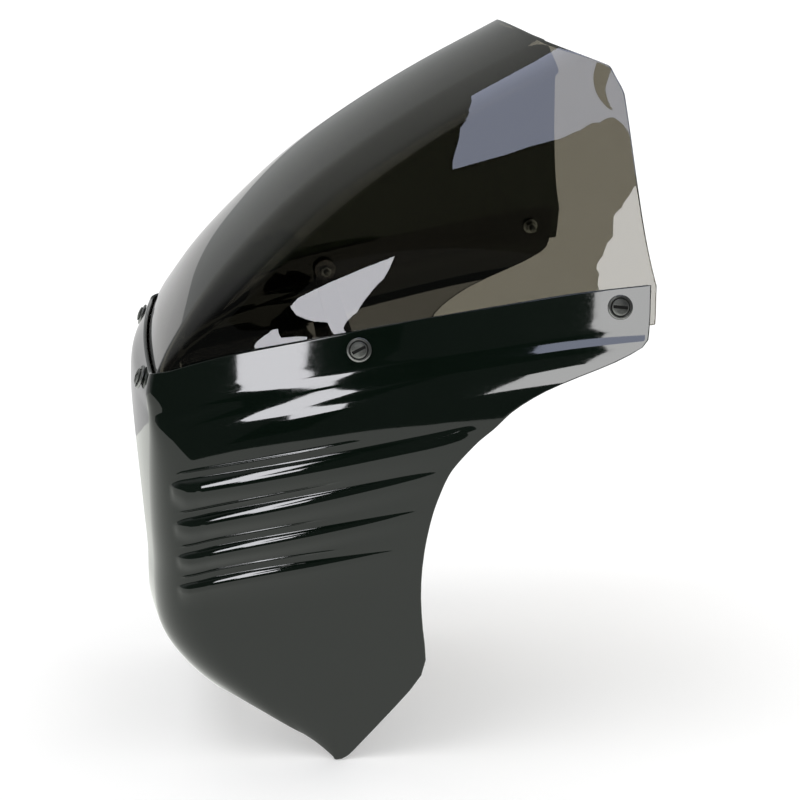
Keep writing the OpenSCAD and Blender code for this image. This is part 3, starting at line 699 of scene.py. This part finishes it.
def build_cups():
    bm = bmesh.new()
    prof = [(2.8, 0.35), (8.0, 0.35), (8.45, 0.42), (8.68, 0.68), (8.7, 1.25), (8.55, 1.6), (8.2, 1.92), (7.7, 2.2), (7.2, 2.36), (6.9, 2.3), (6.7, 2.05), (6.4, 1.6), (6.2, 1.5),
            (6.05, 2.4), (5.2, 1.75), (3.05, 0.75)]
    for s in SEATS:
        lathe(bm, prof, 72, seat_matrix(*s))
    return finish_bm(bm, "cup_washer_rings")


def finish_bm(bm, name, smooth=True):
    face_out(bm)
    me = bpy.data.meshes.new(name)
    bm.to_mesh(me)
    bm.free()
    me.polygons.foreach_set("use_smooth", [smooth] * len(me.polygons))
    ob = bpy.data.objects.new(name, me)
    bpy.context.scene.collection.objects.link(ob)
    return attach(ob, "fairing")


def build_screws():
    """Domed heads with a real slot, and shanks."""
    bm = bmesh.new()
    # radius to height of the dome, with a rounded edge
    dome = lambda q: 4.75 - (q / 6.0) ** 2 * 1.05
    for s in SEATS:
        M = seat_matrix(*s)
        # the head's top as a grid: rings of points, with the slot pressed in by moving points down
        n = 96
        radii = [0.0, 0.5, 1.0, 1.5, 2.0, 2.5, 3.0, 3.5, 4.0, 4.4, 4.8, 5.1, 5.35, 5.55, 5.68]
        # rows across the slot: straight strips in x, each with many points in y
        ys = [-5.75, -5.2, -4.4, -3.4, -2.4, -1.7, -1.32, -1.12, -1.05, -0.98, -0.5, 0, 0.5, 0.98, 1.05, 1.12, 1.32, 1.7, 2.4, 3.4, 4.4, 5.2, 5.75]
        us = np.linspace(-1, 1, 41)
        rows = []
        for y in ys:
            half = math.sqrt(max(0.02, 5.78**2 - y * y))
            row = []
            for u in us:
                x = half * math.sin(u * math.pi / 2)
                q = math.hypot(x, y)
                z = dome(q) - max(0.0, (q - 5.2)) ** 2 * 1.1
                depth = 1.75
                if abs(y) <= 0.99 and abs(x) < 4.75:
                    z = 2.85
                elif abs(y) <= 1.06 and abs(x) < 4.8:
                    z -= 0.28
                row.append(bm.verts.new(M @ Vector((x * MM, y * MM, z * MM))))
            rows.append(row)
        for a in range(len(ys) - 1):
            for b in range(len(us) - 1):
                f = bm.faces.new([rows[a][b], rows[a][b + 1], rows[a + 1][b + 1], rows[a + 1][b]])
                # painted shade: the slot's floor and walls take the near-black recess material
                if ys[a] >= -1.13 and ys[a + 1] <= 1.13 and max(abs(us[b]), abs(us[b + 1])) < 0.72:
                    f.material_index = 1
        loop = rows[0][:] + [r[-1] for r in rows[1:]] + rows[-1][-2::-1] + [r[0] for r in rows[-2:0:-1]]
        inv = M.inverted()
        levels = [(5.97, 3.45), (5.9, 3.1), (2.6, 0.95), (2.5, 0.6), (2.5, -18.6), (2.2, -19.0)]
        prev = loop
        for rad, z in levels:
            ring = []
            for v in loop:
                p = inv @ v.co
                k = rad * MM / max(1e-9, math.hypot(p.x, p.y))
                ring.append(bm.verts.new(M @ Vector((p.x * k, p.y * k, z * MM))))
            m = len(loop)
            for i in range(m):
                bm.faces.new([prev[i], prev[(i + 1) % m], ring[(i + 1) % m], ring[i]])
            prev = ring
        bm.faces.new(prev)
    return finish_bm(bm, "screw_heads_and_shanks")


shell = build_shell()
shell.data.materials.append(M_shell)
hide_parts("fairing_shell")

sheet = build_screen()
sheet.data.materials.append(M_sheet)
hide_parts("windscreen")

cups = build_cups()
cups.data.materials.append(M_cup)
cups.data.materials.append(M_recess_shade)
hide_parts("cup_washers")

screws = build_screws()
screws.data.materials.append(M_screw)
screws.data.materials.append(M_recess_shade)
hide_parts("screen_screws")

# CAD parts kept as they are: bevelled edges and their own materials
SLOT_OF = {}
for item in frame["record"].get("subparts", []):
    SLOT_OF[item["node"]] = item.get("material_slot", "")
LOOK = {"zinc_screws": M_zinc, "cup_washer_steel": M_cup, "black_rubber": M_rubber, "black_steel_stays": M_stay, "black_clamps": M_clamp, "plain_steel": M_steel}
for name, ob in frame["nodes"].items():
    if name in ("fairing_shell", "windscreen", "cup_washers", "screen_screws"):
        continue
    look = LOOK.get(SLOT_OF.get(name, ""), M_steel)
    ob.data.materials.clear()
    ob.data.materials.append(look)
    bv = ob.modifiers.new("soft_edges", "BEVEL")
    bv.width = 0.0003 if ("nut" in name or "bolt" in name or "washer" in name) else 0.0006
    bv.segments = 2
    bv.limit_method = "ANGLE"
    bv.angle_limit = math.radians(38)
    bv.use_clamp_overlap = True


# ---------------------------------------------------------------- stage
scene = bpy.context.scene


def flat(name, corners, mat):
    me = bpy.data.meshes.new(name)
    me.from_pydata([tuple(c) for c in corners], [], [list(range(len(corners)))])
    me.materials.append(mat)
    ob = bpy.data.objects.new(name, me)
    scene.collection.objects.link(ob)
    return ob


def emitter(name, rgb, strength):
    m = bpy.data.materials.new(name)
    m.use_nodes = True
    nt = m.node_tree
    nt.nodes.clear()
    e = nt.nodes.new("ShaderNodeEmission")
    e.inputs[0].default_value = (*rgb, 1)
    e.inputs[1].default_value = strength
    o = nt.nodes.new("ShaderNodeOutputMaterial")
    nt.links.new(e.outputs[0], o.inputs[0])
    return m


fm, fnt, fbs, fout, ftc = new_mat("pale_floor")
fbs.inputs["Roughness"].default_value = 0.9
fbs.inputs["Specular IOR Level"].default_value = 0.0
fnt.links.new(ramp(fnt, noise(fnt, ftc.outputs["Object"], 3.0, 2), [(0.3, (0.90, 0.90, 0.90)), (0.7, (0.915, 0.915, 0.915))]), fbs.inputs["Base Color"])
FZ = -0.1741
fbs.inputs["Emission Color"].default_value = (1, 1, 1, 1)
fbs.inputs["Emission Strength"].default_value = 0.13
floor = flat("floor", [(-40, -40, FZ), (40, -40, FZ), (40, 40, FZ), (-40, 40, FZ)], fm)
floor.visible_glossy = False
floor.visible_transmission = True

card = flat("floor_bounce", [(-0.8, -9, FZ), (4.0, -9, FZ), (4.0, -3.9, FZ), (0.935, -0.039, FZ), (0.708, 0.23, FZ), (0.56, 0.5, FZ), (0.50, 9, FZ), (-0.8, 9, FZ)], emitter("bounce", (1, 1.02, 0.97), 1.12))


def only_glossy(ob):
    ob.visible_camera = False
    ob.visible_diffuse = False
    ob.visible_transmission = False
    ob.visible_shadow = False
    ob.visible_volume_scatter = False


only_glossy(card)


def direction(az, el):
    a, e = math.radians(az), math.radians(el)
    return Vector((math.sin(a) * math.cos(e), -math.cos(a) * math.cos(e), math.sin(e)))


def softbox(name, x_plane, rays, rgb, strength, targets=None):
    """A lamp panel on the plane x = x_plane; each corner is where a ray from a point in a direction meets it."""
    pts = []
    for p, az, el in rays:
        d = direction(az, el)
        p = Vector(p) * MM
        k = (x_plane - p.x) / d.x
        pts.append(p + d * k)
    ob = flat(name, pts, emitter(name + "_light", rgb, strength))
    only_glossy(ob)
    if targets:
        col_ = bpy.data.collections.new(name + "_lights_up")
        for t in targets:
            col_.objects.link(t)
        ob.light_linking.receiver_collection = col_
    return ob


def fan(p, *dirs):
    return [(p, az, el) for az, el in dirs]


def panel(name, pts, rgb, strength, targets):
    ob = flat(name, pts, emitter(name + "_light", rgb, strength))
    only_glossy(ob)
    col_ = bpy.data.collections.new(name + "_lights_up")
    for q in targets:
        col_.objects.link(q)
    ob.light_linking.receiver_collection = col_
    return ob


def wall_panel(name, x, yz, rgb, strength, targets):
    return panel(name, [(x, y, z) for y, z in yz], rgb, strength, targets)


wall_panel("softbox_high", 1.25, [(0.08, 0.975), (0.15, 0.98), (0.22, 0.98), (0.31, 0.985), (0.37, 0.995), (0.445, 1.025), (0.54, 1.077), (0.605, 1.128), (0.66, 1.173), (0.70, 1.15), (2.0, 1.0), (2.0, 2.0), (-0.27, 2.0), (-0.10, 1.6), (0.0, 1.33), (0.045, 1.16)],
           (0.88, 0.95, 1.22), 4.3, [sheet, shell])
panel("softbox_ceiling", [(1.25, -0.27, 2.0), (0.334, -0.36, 2.0), (-0.45, -0.36, 2.0), (-0.45, 2.0, 2.0), (1.25, 2.0, 2.0)], (0.88, 0.95, 1.22), 4.3, [sheet])
wall_panel("softbox_strip", 1.25, [(0.005, 0.58), (-0.04, 0.54), (-0.09, 0.47), (-0.13, 0.38), (-0.14, 0.25), (-0.15, -0.15), (-0.04, -0.15), (-0.035, 0.15), (-0.035, 0.25), (-0.015, 0.35), (0.0, 0.45)],
           (1, 1, 1.06), 11.5, [sheet])
wall_panel("softbox_rear", 1.25, [(0.262, 0.50), (0.28, 0.552), (0.30, 0.604), (0.328, 0.655), (0.35, 0.71), (0.375, 0.755), (0.40, 0.79), (0.43, 0.827), (0.465, 0.878), (0.50, 0.935), (0.55, 0.955), (0.9, 0.955), (0.9, -0.15), (0.19, -0.15), (0.19, 0.12), (0.262, 0.2)],
           (1, 1, 1), 9.5, [sheet, shell])
wall_panel("far_card", -0.8, [(-9, -0.174), (9, -0.174), (9, 0.24), (-9, 0.24)], (1, 1, 1), 0.75, [sheet, shell])
softbox("softbox_rear_low", 1.28, fan((187, 330, 165), (86.6, -4), (86.6, 16), (86.2, 24), (84.5, 38), (83, 52), (110, 52), (118, -4)), (1, 1, 1), 9.5, [shell])
wall_panel("softbox_band", 1.10, [(-0.235, 0.95), (-0.20, 0.83), (-0.165, 0.72), (-0.12, 0.60), (-0.09, 0.5), (-0.10, 0.4), (-0.105, 0.32), (-0.082, 0.26), (-0.035, 0.2), (-0.02, 0.1), (-0.08, 0.1),
           (-0.10, 0.2), (-0.17, 0.24), (-0.20, 0.3), (-0.205, 0.45), (-0.20, 0.6), (-0.22, 0.75), (-0.26, 0.95)], (1, 1, 1.04), 14.5, [shell])
softbox("softbox_crease", 1.15, fan((172, 160, 125), (64, 53), (66, 49), (69, 47.5), (72.5, 41.5), (74, 43), (70, 50.5), (66, 53.5)), (1, 1, 1), 2.2, [shell])
softbox("softbox_metal", 1.4, fan((165, 200, 150), (60, 20), (110, 20), (110, 50), (60, 50)), (1, 1, 1), 1.3, [screws, cups])

world = bpy.data.worlds.new("studio")
scene.world = world
world.use_nodes = True
wn = world.node_tree
wn.nodes.clear()
wo = wn.nodes.new("ShaderNodeOutputWorld")
bg_plain = wn.nodes.new("ShaderNodeBackground")
bg_plain.inputs[0].default_value = (1, 1, 1, 1)
bg_plain.inputs[1].default_value = 1.0
bg_dark = wn.nodes.new("ShaderNodeBackground")
wtc = wn.nodes.new("ShaderNodeTexCoord")
sep = wn.nodes.new("ShaderNodeSeparateXYZ")
wn.links.new(wtc.outputs["Generated"], sep.inputs[0])


def wmap(src, a, b, lo, hi, smooth=True):
    r = wn.nodes.new("ShaderNodeMapRange")
    r.interpolation_type = "SMOOTHSTEP" if smooth else "LINEAR"
    r.inputs["From Min"].default_value = a
    r.inputs["From Max"].default_value = b
    r.inputs["To Min"].default_value = lo
    r.inputs["To Max"].default_value = hi
    wn.links.new(src, r.inputs["Value"])
    return r.outputs[0]


white_x = wmap(sep.outputs["X"], 0.35, -0.25, 0.0, 1.7)
white_z = wmap(sep.outputs["Z"], -0.14, 0.06, 0.07, 0.2)
ws = wn.nodes.new("ShaderNodeMath")
ws.operation = "MULTIPLY"
wn.links.new(white_x, ws.inputs[0])
wn.links.new(white_z, ws.inputs[1])
white_side = ws.outputs[0]
high = wmap(sep.outputs["Z"], 0.55, 1.0, 0.06, 0.35)
tot = wn.nodes.new("ShaderNodeMath")
tot.operation = "ADD"
wn.links.new(white_side, tot.inputs[0])
wn.links.new(high, tot.inputs[1])
wn.links.new(tot.outputs[0], bg_dark.inputs[1])
bg_dark.inputs[0].default_value = (0.97, 1.0, 1.0, 1)
lp = wn.nodes.new("ShaderNodeLightPath")
gl = wn.nodes.new("ShaderNodeMath")
gl.operation = "GREATER_THAN"
gl.inputs[1].default_value = 0.5
wn.links.new(lp.outputs["Glossy Depth"], gl.inputs[0])
wm = wn.nodes.new("ShaderNodeMixShader")
wn.links.new(gl.outputs[0], wm.inputs[0])
wn.links.new(bg_plain.outputs[0], wm.inputs[1])
wn.links.new(bg_dark.outputs[0], wm.inputs[2])
wn.links.new(wm.outputs[0], wo.inputs[0])

sun = bpy.data.lights.new("key", "SUN")
sun.energy = 0.55
sun.angle = math.radians(35)
so = bpy.data.objects.new("key", sun)
scene.collection.objects.link(so)
so.rotation_euler = (math.radians(28), math.radians(22), 0)
so.visible_glossy = False

cam = bpy.data.cameras.new("camera")
co = bpy.data.objects.new("camera", cam)
scene.collection.objects.link(co)
target = Vector((0, 0.210, 0.068))
back = direction(83.5, 14.03)
co.location = target + back * 1.627
co.rotation_mode = "QUATERNION"
co.rotation_quaternion = (-back).to_track_quat("-Z", "Y")
cam.lens = 92.7
cam.sensor_width = 36
cam.clip_start, cam.clip_end = 0.05, 200
scene.camera = co
scene.view_settings.view_transform = "Standard"
scene.view_settings.look = "None"
